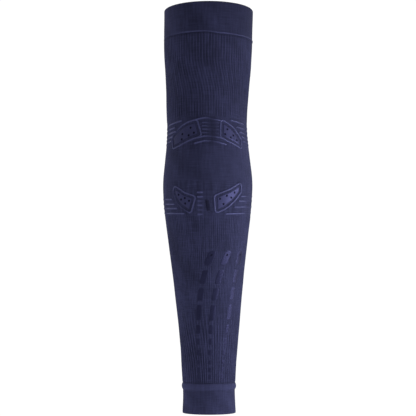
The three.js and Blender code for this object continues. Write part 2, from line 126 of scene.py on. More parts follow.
def distance_to_path(places: Array, path: Array, closed: bool = False) -> Array:
    """Distance of places to a path on the flat.

    Args:
        places: points, last axis across and along.
        path: points of the path, no two alike in a row.
        closed: whether the last point joins the first.

    Returns:
        The distances.
    """
    ends = np.roll(path, -1, axis=0) if closed else path[1:]
    nearest = np.full(places.shape[:-1], np.inf)
    for start, end in zip(path, ends):
        run = end - start
        t = np.clip(((places - start) @ run) / float(run @ run), 0.0, 1.0)
        nearest = np.minimum(nearest, flat_length(places - (start + t[..., None] * run)))
    return nearest


def inside_path(places: Array, path: Array) -> Array:
    """Whether places lie inside a closed path on the flat.

    Args:
        places: points, last axis across and along.
        path: points of the closed path.

    Returns:
        True where a place is inside.
    """
    inside = np.zeros(places.shape[:-1], dtype=bool)
    x, y = places[..., 0], places[..., 1]
    for start, end in zip(path, np.roll(path, -1, axis=0)):
        if start[1] != end[1]:
            at = start[0] + (end[0] - start[0]) * (y - start[1]) / (end[1] - start[1])
            inside ^= ((start[1] > y) != (end[1] > y)) & (x < at)
    return inside


@dataclass(frozen=True)
class Ramp:
    """A smooth rise of an amount between two values, or a fall where the start is the greater."""

    start: float
    end: float
    amount: float = 1.0

    def at(self, value: Array) -> Array:
        """Heights of the ramp at values."""
        return self.amount * smooth_step(self.start, self.end, value)


@dataclass(frozen=True)
class Window:
    """A smooth rise at both sides of a stretch, each given from its outer to its inner end."""

    first: Span
    second: Span
    amount: float = 1.0

    def at(self, value: Array) -> Array:
        """Heights of the window at values."""
        return self.amount * smooth_step(*self.first, value) * smooth_step(*self.second, value)


@dataclass(frozen=True)
class Hump:
    """A smooth hump round a centre."""

    height: float = 0.0
    centre: float = 0.0
    reach: float = 1.0

    def at(self, value: Array) -> Array:
        """Heights of the hump at values."""
        return self.height * np.exp(-(((value - self.centre) / self.reach) ** 2))


@dataclass(frozen=True)
class Places:
    """Places on the sleeve: degrees round the arm and millimetres along it."""

    turn: Numbers
    level: Numbers

    def flat(self, per_degree: Numbers) -> Array:
        """Points on the flat, in millimetres across and along, from the length of a degree."""
        return np.stack(np.broadcast_arrays(self.turn * per_degree, self.level), axis=-1)


@dataclass(frozen=True)
class Stretch:
    """A stretch of the sleeve between two levels."""

    low: float
    high: float

    def level(self, up: Numbers) -> Numbers:
        """Level at a share of the stretch."""
        return self.low + (self.high - self.low) * up

    def share(self, level: Numbers) -> Numbers:
        """Share of the stretch at a level."""
        return (level - self.low) / (self.high - self.low)

    def fade(self, level: Array, reach: float = 1.6) -> Array:
        """Factors that fade a relief to nothing at both edges, over a reach in millimetres."""
        return smooth_step(0.0, reach, level - self.low) * smooth_step(0.0, reach, self.high - level)


@dataclass(frozen=True)
class Swells:
    """Slow unevenness: rows of whole waves round the arm, wavelength along it and phase."""

    height: float
    waves: tuple[tuple[int, float, float], ...]

    def relief(self, at: Places) -> Array:
        """Unevenness at places.

        Args:
            at: the places.

        Returns:
            Values from about minus to plus the height.
        """
        total = np.zeros(np.broadcast(at.turn, at.level).shape)
        for around, along, phase in self.waves:
            total = total + np.sin(np.radians(at.turn) * around + TAU * at.level / along + phase)
        return self.height * (total / len(self.waves))


@dataclass
class ArmForm:
    """The form of the arm inside the sleeve, which gives every piece its place.

    The upper arm leans back by the bend, the elbow's point stands out, and the cloth has slipped down
    a little at one side.
    """

    upper_length: float = 165.0
    forearm_length: float = 265.5
    top_width: float = 95.4
    neck_width: float = 85.0
    elbow_width: float = 95.0
    wrist_width: float = 55.6
    bend: float = math.radians(8.5)
    bend_length: float = 60.0
    sway: float = 1.2
    point: Hump = Hump(3.0, 0.0, 22.0)
    slip: Hump = Hump(1.8, 131.5, 12.0)
    slip_turns: Window = Window((-6.0, 18.0), (170.0, 90.0))
    levels: Array = field(init=False)
    half_widths: Array = field(init=False)
    half_depths: Array = field(init=False)
    sways: Array = field(init=False)

    def __post_init__(self) -> None:
        """Works out the columns of the section table from the sizes."""
        upper, fore = self.upper_length, self.forearm_length
        top, neck, elbow, wrist = self.top_width, self.neck_width, self.elbow_width, self.wrist_width
        rows = [
            # level, width, depth as a share of width, share of the sway
            (-1.0 * fore, 1.018 * wrist, 0.77, 1.0),
            (-0.92 * fore, 0.989 * wrist, 0.77, 0.85),
            (-0.84 * fore, 1.02 * wrist, 0.79, 0.8),
            (-0.76 * fore, 1.066 * wrist, 0.815, 0.9),
            (-0.69 * fore, 0.657 * elbow, 0.835, 0.9),
            (-0.57 * fore, 0.724 * elbow, 0.855, 0.6),
            (-0.44 * fore, 0.8 * elbow, 0.865, 0.2),
            (-0.31 * fore, 0.888 * elbow, 0.87, -0.1),
            (-0.15 * fore, 0.987 * elbow, 0.88, -0.3),
            (-0.085 * fore, 1.0 * elbow, 0.89, -0.2),
            (0.0, 0.958 * elbow, 0.92, -0.3),
            (0.11 * upper, 1.024 * neck, 0.965, -0.5),
            (0.2 * upper, 1.0 * neck, 0.985, -0.75),
            (0.32 * upper, 1.009 * neck, 0.985, -1.0),
            (0.52 * upper, 0.934 * top, 0.965, -0.25),
            (0.72 * upper, 0.982 * top, 0.96, 0.0),
            (1.0 * upper, 1.0 * top, 0.96, 0.5),
        ]
        self.levels, widths, depth_shares, sway_shares = np.array(rows).T
        self.half_widths = widths / 2.0
        self.half_depths = self.half_widths * depth_shares
        self.sways = sway_shares * self.sway

    def column(self, values: Array, level: Numbers) -> Array:
        """Values of a column of the section table at levels, on a smooth curve through its rows."""
        return curve_through(self.levels, values, np.clip(level, self.levels[0], self.levels[-1]))

    def half_width(self, level: Numbers) -> Array:
        """Half the sleeve's width at levels."""
        return self.column(self.half_widths, level)

    def per_degree(self, level: Numbers) -> Array:
        """Length across the sleeve of a degree of turn at levels."""
        return 1.0 / np.degrees(1.0 / self.half_width(level))

    def settled(self, at: Places) -> Places:
        """Places of the cloth once it has slipped."""
        return Places(at.turn, at.level - self.slip.at(at.level) * self.slip_turns.at(at.turn))

    def skin(self, at: Places, lift: Numbers) -> Array:
        """Points of the sleeve.

        Args:
            at: places on it.
            lift: millimetres above the outer face of the knit.

        Returns:
            Points in metres, one row of x, y, z for each place.
        """
        turn, level, lift = np.broadcast_arrays(np.radians(at.turn), at.level, lift)
        half_width = self.half_width(level)
        half_depth = self.column(self.half_depths, level)
        half_bend = self.bend_length / 2.0
        radius = self.bend_length / self.bend
        tilt = np.clip(level / self.bend_length + 0.5, 0.0, 1.0) * self.bend
        below = np.minimum(level + half_bend, 0.0)
        above = np.maximum(level - half_bend, 0.0)
        axis_y = radius * (1.0 - np.cos(tilt)) + above * np.sin(tilt)
        axis_z = -half_bend + radius * np.sin(tilt) + below + above * np.cos(tilt)
        out_x = half_depth * np.sin(turn)
        out_y = half_width * np.cos(turn)
        facing = np.maximum(np.cos(turn), 0.0) ** 3
        push = (lift + self.point.at(level) * facing) / np.hypot(out_x, out_y)
        across = half_width * np.sin(turn) + push * out_x
        front = half_depth * np.cos(turn) + push * out_y
        side = self.column(self.sways, level) + across
        return np.stack([side, axis_y - front * np.cos(tilt), axis_z + front * np.sin(tilt)], axis=-1) * MM


def grid_faces(columns: int, rows: int, closed: bool) -> Array:
    """Faces between the neighbours in a grid of points.

    Args:
        columns: length of the grid's first axis.
        rows: length of its second axis.
        closed: whether both axes run round and meet.

    Returns:
        Four point numbers for each face.
    """
    last = 0 if closed else 1
    column = np.arange(columns - last)[:, None]
    row = np.arange(rows - last)[None, :]
    after, above = (column + 1) % columns, (row + 1) % rows
    corners = [column * rows + row, after * rows + row, after * rows + above, column * rows + above]
    return np.stack(corners, axis=-1).reshape(-1, 4)


def make_piece(
    name: str, points: Array, faces: Array, uvs: Array, marks: dict[str, Array]
) -> Piece:
    """Makes a smooth shaded object.

    Args:
        name: its name.
        points: its points, in metres.
        faces: four point numbers for each face.
        uvs: stitch coordinates for each corner of each face.
        marks: numbers kept at each point, by name.

    Returns:
        The object.
    """
    mesh = bpy.data.meshes.new(name)
    mesh.vertices.add(points.size // 3)
    mesh.vertices.foreach_set("co", points.astype(np.float32).ravel())
    mesh.loops.add(faces.size)
    mesh.loops.foreach_set("vertex_index", faces.astype(np.int32).ravel())
    mesh.polygons.add(len(faces))
    mesh.polygons.foreach_set("loop_start", np.arange(0, faces.size, 4, dtype=np.int32))
    mesh.polygons.foreach_set("use_smooth", np.ones(len(faces), dtype=bool))
    mesh.update(calc_edges=True)
    layer = mesh.uv_layers.new(name=STITCH_MAP)
    layer.data.foreach_set("uv", uvs.astype(np.float32).ravel())
    for mark, values in marks.items():
        kept = mesh.attributes.new(mark, "FLOAT", "POINT")
        kept.data.foreach_set("value", values.astype(np.float32).ravel())
    mesh.set_sharp_from_angle(angle=SHARP_EDGE)
    mesh.validate()
    piece = bpy.data.objects.new(name, mesh)
    bpy.context.scene.collection.objects.link(piece)
    return piece


@dataclass
class KnitZone:
    """A zone of the sleeve: a closed tube of knit with relief on its outer face.

    The steps are lengths of its faces up it, round its front and round its back. The wales count the
    stitches round it, and a course is the height of a stitch.
    """

    arm: ArmForm
    span: Stretch
    name: str = ""
    node: str = ""
    slot: Slot = Slot.RIB
    wall: float = 1.2
    row_step: float = 0.8
    front_step: float = 0.8
    back_step: float = 1.2
    rim_low: bool = False
    rim_high: bool = False
    # how much the relief counts in the finish's painted shade and highlights
    tone_share: float = 1.0
    front_reach: float = 75.0
    inner_step: float = 6.0
    rim_steps: int = 6
    wales: int = 240
    course: float = 0.95

    def relief(self, at: Places) -> Array:
        """Millimetres of relief on the outer face: none unless a zone says otherwise."""
        return np.zeros_like(at.level)

    def shade(self, at: Places) -> Array:
        """Painted shade on the outer face, as a factor on its colour: none unless a zone says otherwise."""
        return np.ones_like(at.level)

    def turns(self) -> Array:
        """Turns of the columns, finer in front than behind.

        Returns:
            Turns in degrees, from behind round the front, without the last one.
        """
        half = float(self.arm.half_width(self.span.level(0.5)))
        front = int(round(math.radians(2.0 * self.front_reach) * half / self.front_step))
        back = int(round(math.radians(180.0 - self.front_reach) * half / self.back_step))
        return np.concatenate([
            np.linspace(-180.0, -self.front_reach, back, endpoint=False),
            np.linspace(-self.front_reach, self.front_reach, front, endpoint=False),
            np.linspace(self.front_reach, 180.0, back, endpoint=False),
        ])

    def profile(self) -> tuple[Array, Array, Array]:
        """The closed profile: up the outer face, over the top rim, down the inner face and back.

        Returns:
            Levels, lifts and a mark of 1 on the points of the outer face.
        """
        half = self.wall / 2.0
        low = self.span.low + half * self.rim_low
        high = self.span.high - half * self.rim_high
        outer = np.linspace(low, high, max(3, int(round((high - low) / self.row_step)) + 1))
        inner = np.linspace(high, low, max(3, int(round((high - low) / self.inner_step)) + 1))
        arc = np.linspace(0.0, math.pi, self.rim_steps + 1)[1:-1]
        parts = [(outer, np.zeros(len(outer)))]
        if self.rim_high:
            parts.append((high + half * np.sin(arc), -half * (1.0 - np.cos(arc))))
        parts.append((inner, np.full(len(inner), -self.wall)))
        if self.rim_low:
            parts.append((low - half * np.sin(arc), -half * (1.0 + np.cos(arc))))
        levels, lifts = (np.concatenate(column) for column in zip(*parts))
        return levels, lifts, (np.arange(len(levels)) < len(outer)).astype(float)

    def build(self) -> Piece:
        """Makes the zone's object.

        Returns:
            The object.
        """
        turns = self.turns()
        levels, lifts, outer = self.profile()
        at = Places(*np.meshgrid(turns, levels, indexing="ij"))
        relief = self.relief(at) * outer
        points = self.arm.skin(self.arm.settled(at), lifts + relief)
        along = np.concatenate([[0.0], np.cumsum(np.hypot(np.diff(levels), np.diff(lifts)))])
        closing = along[-1] + math.hypot(levels[0] - levels[-1], lifts[0] - lifts[-1])
        u_low = (turns / 360.0 + 0.5) * self.wales
        u_high = np.append(u_low[1:], float(self.wales))
        v_low = (along + levels[0]) / self.course
        v_high = np.append(v_low[1:], (closing + levels[0]) / self.course)
        corner_u = np.stack([u_low, u_high, u_high, u_low], axis=-1)[:, None, :]
        corner_v = np.stack([v_low, v_low, v_high, v_high], axis=-1)[None, :, :]
        uvs = np.stack(np.broadcast_arrays(corner_u, corner_v), axis=-1)
        faces = grid_faces(len(turns), len(levels), closed=True)
        # the relief mark paints shade and highlights in the finish, and the shade mark is painted shade
        marks = {"relief": relief * self.tone_share, "shade": self.shade(at)}
        return make_piece(self.name, points, faces, uvs, marks)


@dataclass(frozen=True)
class RibKnit:
    """Fine upright ribs, which lean over a stretch of the arm, and where every second one stands out."""

    ribs: int = 95
    height: float = 0.3
    crest: float = 2.0
    sharpness: float = 1.6
    root: float = 0.85
    evenness: float = 0.8
    swells: Swells = Swells(0.3, ((5, 61.0, 0.3), (9, 37.0, 1.9), (13, 23.0, 4.0)))
    lean: float = 0.0
    lean_levels: Span = (0.0, 1.0)
    lean_centre: float = 0.0
    lean_reach: float = 120.0
    wide_height: float = 0.0
    wide_levels: Span = (0.0, 1.0)
    wide_fade: float = 16.0
    wide_merge: float = 0.4

    def relief(self, at: Places) -> Array:
        """Relief of the ribs.

        Args:
            at: places on the knit.

        Returns:
            Millimetres of relief.
        """
        facing = np.cos(np.clip((at.turn - self.lean_centre) / self.lean_reach, -1.0, 1.0) * math.pi / 2.0)
        shift = self.lean * facing * (1.0 - smooth_step(*self.lean_levels, at.level))
        phase = np.radians(at.turn - shift) * self.ribs
        low, high = self.wide_levels
        wide = Window((low - self.wide_fade, low), (high + self.wide_fade, high)).at(at.level)
        narrow = self.height * (self.crest * (0.5 + 0.5 * np.cos(phase)) ** self.sharpness - self.root)
        ribs = narrow * (1.0 - self.wide_merge * wide) + self.wide_height * wide * np.cos(phase / 2.0)
        return ribs * (self.evenness + self.swells.relief(at))


@dataclass(frozen=True)
class EvenRibs:
    """Low, even, upright ribs, by their count round the arm."""

    count: int
    height: float

    def relief(self, at: Places) -> Array:
        """Relief of the ribs at places."""
        return self.height * np.cos(np.radians(at.turn) * self.count)


@dataclass
class Welt(KnitZone):
    """The doubled edge at the top, with a rolled lower edge that is flatter at the left."""

    name: str = "welt_fabric"
    node: str = "top_welt"
    slot: Slot = Slot.DOUBLE
    wall: float = 2.0
    row_step: float = 0.55
    front_step: float = 0.9
    rim_high: bool = True
    swells: Swells = Swells(0.12, ((4, 80.0, 0.4), (7, 51.0, 2.2), (11, 33.0, 4.4)))
    roll: Hump = Hump(0.7, 1.3, 0.9)
    tuck: Hump = Hump(-0.5, 0.0, 0.5)
    flat: Window = Window((-28.0, -52.0), (-120.0, -85.0), 0.75)
    brightness: float = 0.93
    # painted shade over the welt's right side, fading out towards the back
    painted_shade_right: Window = Window((5.0, 50.0), (160.0, 95.0), 0.17)

    def relief(self, at: Places) -> Array:
        """Relief of the rolled edge, the tuck under it and slow swells."""
        up = at.level - self.span.low
        return self.roll.at(up) * (1.0 - self.flat.at(at.turn)) + self.tuck.at(up) + self.swells.relief(at)

    def shade(self, at: Places) -> Array:
        """Brightness of the welt: a little darker all round, with painted shade over its right side, where
        the light falls off towards the top.
        """
        return self.brightness - self.painted_shade_right.at(at.turn)


@dataclass
class UpperArm(KnitZone):
    """The rib knit over the upper arm, clearest in its middle and at the right."""

    name: str = "upper_arm_fabric"
    node: str = "upper_arm_knit"
    row_step: float = 1.3
    front_step: float = 0.4
    back_step: float = 0.5
    swells: Swells = Swells(0.11, ((3, 70.0, 1.0), (6, 47.0, 3.0), (10, 31.0, 5.0)))
    ribs: RibKnit = RibKnit(lean=11.0, lean_levels=(60.0, 108.0), wide_height=0.08, wide_levels=(66.0, 98.0))
    least: float = 0.62
    clear: Window = Window((55.0, 72.0), (118.0, 98.0), 0.45)
    clearer: Ramp = Ramp(5.0, 40.0, 8.0 / 9.0)
    # painted shadow along the top of the upper arm, under the welt's rolled edge
    shadow_under_welt: Ramp = Ramp(3.0, 0.0, 0.45)

    def relief(self, at: Places) -> Array:
        """Relief of the ribs and slow swells."""
        share = self.least + self.clear.at(at.level) * (1.0 + self.clearer.at(at.turn))
        return (self.ribs.relief(at) * share + self.swells.relief(at)) * self.span.fade(at.level)

    def shade(self, at: Places) -> Array:
        """Brightness of the upper arm, with a painted shadow along its top, under the welt's rolled edge."""
        return 1.0 - self.shadow_under_welt.at(self.span.high - at.level)


@dataclass
class ElbowCap(KnitZone):
    """The plain knit over the elbow's point."""

    name: str = "elbow_cap_fabric"
    node: str = "elbow_cap_knit"
    slot: Slot = Slot.PLAIN
    swells: Swells = Swells(0.08, ((3, 60.0, 0.7), (5, 41.0, 2.0), (8, 27.0, 4.1)))

    def relief(self, at: Places) -> Array:
        """Slow swells over the elbow."""
        return self.swells.relief(at) * self.span.fade(at.level)


@dataclass(frozen=True)
class Pad:
    """The outline of a pad: rows of bottom and top at even steps from its inner edge to its tip.

    The hand is 1 where the curved side of its frame is the upper one and -1 where it is the lower one.
    The frame's share of its full height drops further by the faint share along that side.
    """

    node: str
    span: Stretch
    inner: float
    tip: float
    slant: float
    rows: Line
    dots: Line
    hand: float = 1.0
    frame: float = 1.0
    faint: float = 0.0
    faint_across: Ramp = Ramp(0.35, 0.7)
    faint_beyond: Ramp = Ramp(-0.03, 0.05)
    samples: int = 24

    def place(self, across: Numbers, up: Numbers) -> Places:
        """Places given by their share across the pad and up its band."""
        turn = self.inner + (self.tip - self.inner) * across + self.slant * (1.0 - up)
        return Places(turn, self.span.level(up))

    def edges(self, across: Array) -> tuple[Array, Array]:
        """Shares of the band's height at the pad's bottom and top edge."""
        at = np.linspace(0.0, 1.0, len(self.rows))
        return tuple(curve_through(at, column, across) for column in np.array(self.rows).T)

    def outline(self, per_degree: float) -> Array:
        """The pad's outline on the flat.

        Args:
            per_degree: millimetres for each degree of turn.

        Returns:
            Points across and along, in millimetres, in order round the pad.
        """
        across = np.linspace(0.0, 1.0, self.samples)
        bottom, top = self.edges(across)
        sides = [self.place(across, bottom), self.place(across[::-1], top[::-1])]
        return np.concatenate([side.flat(per_degree) for side in sides])

    def frame_share(self, at: Places) -> Array:
        """Share of the frame's height, which is less along its curved side towards the tip.

        Args:
            at: places in the band.

        Returns:
            Factors from 0 to 1.
        """
        across = np.clip((at.turn - self.inner) / (self.tip - self.inner), 0.0, 1.0)
        bottom, top = self.edges(across)
        beyond = self.hand * (self.span.share(at.level) - (bottom + top) / 2.0)
        curved = self.faint_across.at(across) * self.faint_beyond.at(beyond)
        return self.frame * (1.0 - self.faint * curved)


@dataclass
class ElbowBand(KnitZone):
    """A relief band: frames round its pads, a ladder between them and ribs round the sides.

    A line is rows of turn and share of the band's height. The rungs are rows of that share and their
    height, and the side ribs are rows of the turn where they start and their share there and behind.
    """

    slot: Slot = Slot.BAND
    wall: float = 1.4
    row_step: float = 0.3
    front_step: float = 0.32
    back_step: float = 0.8
    pads: Sequence[Pad] = ()
    rung_ends: Span = (0.0, 0.0)
    rungs: Line = ()
    rung_width: float = 1.7
    rung_fade: Ramp = Ramp(0.0, 1.0, 0.0)
    side_ribs: Sequence[tuple[float, float, float]] = ()
    long_ribs: Sequence[Line] = ()
    dimples: Line = ()
    dimple: Ramp = Ramp(0.95, 0.4, 0.35)
    rib_width: float = 1.9
    rib_height: float = 0.75
    pad_margin: float = 2.95
    side_reach: float = 105.0
    side_end: float = 130.0
    calm: Hump = Hump()
    left_loss: Ramp = Ramp(60.0, 76.0, 0.6)
    right_loss: Ramp = Ramp(57.0, 68.0, 0.65)
    edge_reach: float = 0.8
    # painted shade up the middle of the ladder
    crease_shade: Hump = Hump()
    crease_shade_levels: Span = (0.0, 1.0)
    per_degree: float = field(init=False)

    def __post_init__(self) -> None:
        """Works out the length of a degree at the middle of the band."""
        self.per_degree = float(self.arm.per_degree(self.span.level(0.5)))

    def distance(self, flat: Array, line: Line) -> Array:
        """Distance from points on the flat to a line of the band."""
        path = np.array([(turn * self.per_degree, self.span.level(up)) for turn, up in line])
        return distance_to_path(flat, path)

    def frames(self, at: Places, flat: Array) -> Array:
        """Relief of the frames round the pads.

        Args:
            at: places in the band.
            flat: the same places on the flat.

        Returns:
            Millimetres of relief.
        """
        raised = np.zeros(flat.shape[:-1])
        for pad in self.pads:
            loop = pad.outline(self.per_degree)
            beside = np.abs(distance_to_path(flat, loop, closed=True) - self.pad_margin)
            frame = ridge(beside, self.rib_width, self.rib_height) * ~inside_path(flat, loop)
            raised = np.maximum(raised, frame * pad.frame_share(at))
        return raised

    def side_share(self, turn: Array) -> Array:
        """Share of the side ribs' height, which they lose behind and partly lose at both sides."""
        kept = 1.0 - self.left_loss.at(-turn) - self.right_loss.at(turn)
        return smooth_step(self.side_end, self.side_reach, np.abs(turn)) * kept

    def relief(self, at: Places) -> Array:
        """Relief of the band.

        Args:
            at: places in the band.

        Returns:
            Millimetres of relief.
        """
        flat = at.flat(self.per_degree)
        raised = self.frames(at, flat)
        clear = 1.0 - self.rung_fade.at(at.turn)
        for up, height in self.rungs:
            rung = self.distance(flat, [(turn, up) for turn in self.rung_ends])
            raised = np.maximum(raised, ridge(rung, self.rung_width, height) * clear)
        for line in self.long_ribs:
            raised = np.maximum(raised, ridge(self.distance(flat, line), self.rib_width, self.rib_height))
        raised = raised * (1.0 - self.calm.at(at.turn))
        side_share = self.side_share(at.turn)
        for start, up, far_up in self.side_ribs:
            ends = [math.copysign(reach, start) for reach in (self.side_reach, self.side_end)]
            line = [(start, up), *((end, far_up) for end in ends)]
            side = ridge(self.distance(flat, line), self.rib_width, self.rib_height)
            raised = np.maximum(raised, side * side_share)
        raised = self.with_marks(raised, flat)
        return raised * self.span.fade(at.level, self.edge_reach)

    def with_marks(self, raised: Array, flat: Array) -> Array:
        """The relief with the dimples pressed in.

        Args:
            raised: the relief.
            flat: its places on the flat.

        Returns:
            Millimetres of relief.
        """
        for turn, up in self.dimples:
            away = flat_length(flat - Places(turn, self.span.level(up)).flat(self.per_degree))
            raised = raised - self.dimple.at(away)
        return raised

    def shade(self, at: Places) -> Array:
        """Brightness of the band, with painted shade up the middle of its ladder."""
        return 1.0 - self.crease_shade.at(at.turn) * smooth_step(*self.crease_shade_levels, at.level)


@dataclass
class LowerBand(ElbowBand):
    """The band below the elbow, with a leaning, smooth block low on its ladder, darkened with painted shade.
    """

    block: Line = ((1.3, 0.15), (-0.6, 0.43))
    block_side: Ramp = Ramp(1.75, 1.05, 0.3)
    # painted shade over the block, leaning with it
    dark: Window = Window((-52.0, -50.0), (-38.8, -40.6), 0.66)
    block_shade_side: Ramp = Ramp(2.9, 1.9)
    block_shade_foot: float = -50.7
    block_shade_rise: float = 9.9

    def with_marks(self, raised: Array, flat: Array) -> Array:
        """The relief with the block laid on."""
        block = self.block_side.at(self.distance(flat, self.block))
        return super().with_marks(np.maximum(raised, block), flat)

    def shade(self, at: Places) -> Array:
        """Brightness of the band, with painted shade over the block.

        Args:
            at: places in the band.

        Returns:
            Factors from 0 to 1.
        """
        (foot, _), (head, _) = self.block
        middle = foot + (head - foot) * np.clip((at.level - self.block_shade_foot) / self.block_shade_rise, 0.0, 1.0)
        return super().shade(at) - self.dark.at(at.level) * self.block_shade_side.at(np.abs(at.turn - middle))


@dataclass
class PadPiece:
    """Builds a smooth pad: a low cushion with a round edge and dimpled dots."""

    pad: Pad
    arm: ArmForm
    thickness: float = 0.26
    edge: float = 0.9
    dot_rim: Ramp = Ramp(1.35, 0.75)
    dot_depth: float = 0.2
    step: float = 0.3

    @property
    def node(self) -> str:
        """Name of the node that the pad stands for."""
        return self.pad.node

    def build(self) -> Piece:
        """Makes the pad's object.

        Returns:
            The object.
        """
        pad = self.pad
        per_degree = float(self.arm.per_degree(pad.span.level(0.5)))
        width = abs(pad.tip - pad.inner) * per_degree
        height = max(top - bottom for bottom, top in pad.rows) * (pad.span.high - pad.span.low)
        across = np.linspace(0.0, 1.0, int(width / self.step) + 1)
        share = np.linspace(0.0, 1.0, int(height / self.step) + 1)
        bottom, top = pad.edges(across)
        across_grid, share_grid = np.meshgrid(across, share, indexing="ij")
        at = pad.place(across_grid, bottom[:, None] + (top - bottom)[:, None] * share_grid)
        flat = at.flat(per_degree)
        inset = distance_to_path(flat, pad.outline(per_degree), closed=True)
        pit = np.zeros(inset.shape)
        for dot in pad.dots:
            away = flat_length(flat - pad.place(*dot).flat(per_degree))
            pit = np.maximum(pit, self.dot_rim.at(away))
        crown = self.thickness * smooth_step(0.0, self.edge, inset) - self.dot_depth * pit
        # the pad takes the full painted sheen, lightest over its top
        return slab(f"{pad.node}_satin", self.arm, at, crown, pit, tone=1.0)


def slab(
    name: str,
    arm: ArmForm,
    at: Places,
    crown: Array,
    pit: Array,
    tone: float = 0.0,
    sink: float = 0.15,
    lit_crown: Ramp = Ramp(0.3, 0.8),
) -> Piece:
    """A closed thin body on the sleeve from a grid of places.

    Args:
        name: the piece's name.
        arm: the arm's form.
        at: the grid, with turns along its first axis and levels that rise along its second one.
        crown: height of the upper face at each place.
        pit: 1 in the dots, 0 elsewhere.
        tone: how much painted sheen the satin's upper face takes, from 0 to 1.
        sink: how far the lower face lies inside the knit.
        lit_crown: rise of the painted sheen with the share of the full height.

    Returns:
        The object.
    """
    if at.turn[0, 0] > at.turn[-1, 0]:
        at, crown, pit = Places(at.turn[::-1], at.level[::-1]), crown[::-1], pit[::-1]
    columns, rows = crown.shape
    points = np.concatenate([arm.skin(at, lift).reshape(-1, 3) for lift in (crown, -sink)])
    upper = grid_faces(columns, rows, closed=False)
    loop = np.concatenate([
        np.arange(columns) * rows,
        (columns - 1) * rows + np.arange(1, rows),
        np.arange(columns - 2, -1, -1) * rows + rows - 1,
        np.arange(rows - 2, 0, -1),
    ])
    after = np.roll(loop, -1)
    sides = np.stack([loop + crown.size, after + crown.size, after, loop], axis=-1)
    faces = np.concatenate([upper, upper[:, ::-1] + crown.size, sides])
    flat = at.flat(arm.per_degree(at.level)).reshape(-1, 2)
    lit = tone * lit_crown.at(crown / crown.max())
    below = np.zeros(crown.size)
    # the relief mark carries the painted sheen, and the pit mark the dots, which take painted shade
    marks = {"relief": np.append(lit, below), "pit": np.append(pit, below)}
    return make_piece(name, points, faces, np.concatenate([flat, flat])[faces], marks)


@dataclass(frozen=True)
class DashRow:
    """A leaning row of smooth dashes, from a rounded head at its top."""

    name: str
    start: float
    end: float
    ease: float
    top: float = -92.5
    length: float = 135.7

    def turn(self, share: Array) -> Array:
        """Turn of the row's middle line at shares of its length."""
        return self.end + (self.start - self.end) * (1.0 - share) ** self.ease


@dataclass
class DashPiece:
    """Builds one dash of a row, or its dotted head as number 0.

    Its start and end are shares of the row's length, and its width is a share of the head's.
    """

    row: DashRow
    arm: ArmForm
    number: int
    start: float
    end: float
    width: float
    head_width: float = 8.5
    thickness: float = 0.17
    full_half: float = 2.2
    edge: float = 0.8
    corner_share: float = 0.55
    end_cut: float = 0.985
    step: float = 0.4
    least_steps: int = 8
    dot_up: float = 0.7
    dot_rim: Ramp = Ramp(1.4, 0.56)
    dot_depth: float = 0.12
    clearance: float = 1.6

    @property
    def node(self) -> str:
        """Name of the node that the dash stands for."""
        return f"{self.row.name}_dash_{self.number}" if self.number else f"{self.row.name}_head"

    @property
    def half(self) -> float:
        """Half the dash's width."""
        return self.width * self.head_width / 2.0

    def cover(self, at: Places) -> Array:
        """How far the knit lies under the dash.

        Args:
            at: places on the knit.

        Returns:
            1 under the dash, falling to 0 beside it.
        """
        share = (self.row.top - at.level) / self.row.length
        across = np.abs(at.turn - self.row.turn(np.clip(share, 0.0, 1.0))) * self.arm.per_degree(at.level)
        ease = self.clearance / self.row.length
        along = Window((self.start - ease, self.start), (self.end + ease, self.end))
        return along.at(share) * smooth_step(self.half + self.clearance / 2.0, self.half, across)

    def build(self) -> Piece:
        """Makes the dash's object.

        Returns:
            The object.
        """
        length = (self.end - self.start) * self.row.length
        half = self.half
        along = np.linspace(0.0, 1.0, max(self.least_steps, int(length / self.step)))
        aside = np.linspace(-1.0, 1.0, max(self.least_steps, int(2.0 * half / self.step)))
        corner = min(half, length / 2.0) * (self.corner_share if self.number else 1.0)
        from_end = np.minimum(along, 1.0 - along) * length
        cut = np.clip(1.0 - from_end / corner, 0.0, 1.0) * self.end_cut
        narrowed = half - corner * (1.0 - np.sqrt(1.0 - cut**2))
        aside_grid, along_grid = np.meshgrid(aside, along, indexing="ij")
        share = self.end + (self.start - self.end) * along_grid
        level = self.row.top - share * self.row.length
        across = aside_grid * narrowed
        at = Places(self.row.turn(share) + across / self.arm.per_degree(level), level)
        inset = np.minimum(narrowed * (1.0 - np.abs(aside_grid)), from_end)
        thickness = self.thickness * min(1.0, half / self.full_half)
        crown = thickness * smooth_step(0.0, min(self.edge, half / 2.0), inset)
        pit = np.zeros(crown.shape)
        if self.number == 0:
            pit = self.dot_rim.at(np.hypot(across, (along_grid - self.dot_up) * length))
        return slab(f"{self.node}_satin", self.arm, at, crown - self.dot_depth * pit, pit)


@dataclass
class Forearm(KnitZone):
    """The rib knit down the forearm, which lies flat under the dashes."""

    name: str = "forearm_fabric"
    node: str = "forearm_knit"
    row_step: float = 2.0
    front_step: float = 0.35
    back_step: float = 0.45
    dashes: Sequence[DashPiece] = ()
    swells: Swells = Swells(0.08, ((3, 90.0, 2.0), (5, 57.0, 0.5), (9, 37.0, 3.3)))
    lean_length: float = 85.0
    wide_length: float = 45.0
    # painted shadow along the foot of the forearm, where it meets the wrist's roll
    ring: Ramp = Ramp(2.2, 0.0, 0.5)

    def relief(self, at: Places) -> Array:
        """Relief of the ribs, which lean and widen towards the wrist, and slow swells.

        Args:
            at: places on the forearm.

        Returns:
            Millimetres of relief.
        """
        low = self.span.low
        ribs = RibKnit(
            ribs=124, height=0.16,
            lean=15.0, lean_levels=(low, low + self.lean_length), lean_centre=-40.0, lean_reach=60.0,
            wide_height=0.28, wide_levels=(low, low + self.wide_length), wide_fade=40.0,
        )
        bare = self.span.fade(at.level)
        for dash in self.dashes:
            bare = bare * (1.0 - dash.cover(at))
        return (ribs.relief(at) + self.swells.relief(at)) * bare

    def shade(self, at: Places) -> Array:
        """Brightness of the forearm, with a painted shadow along its foot, just above the wrist's roll."""
        return 1.0 - self.ring.at(at.level - self.span.low)


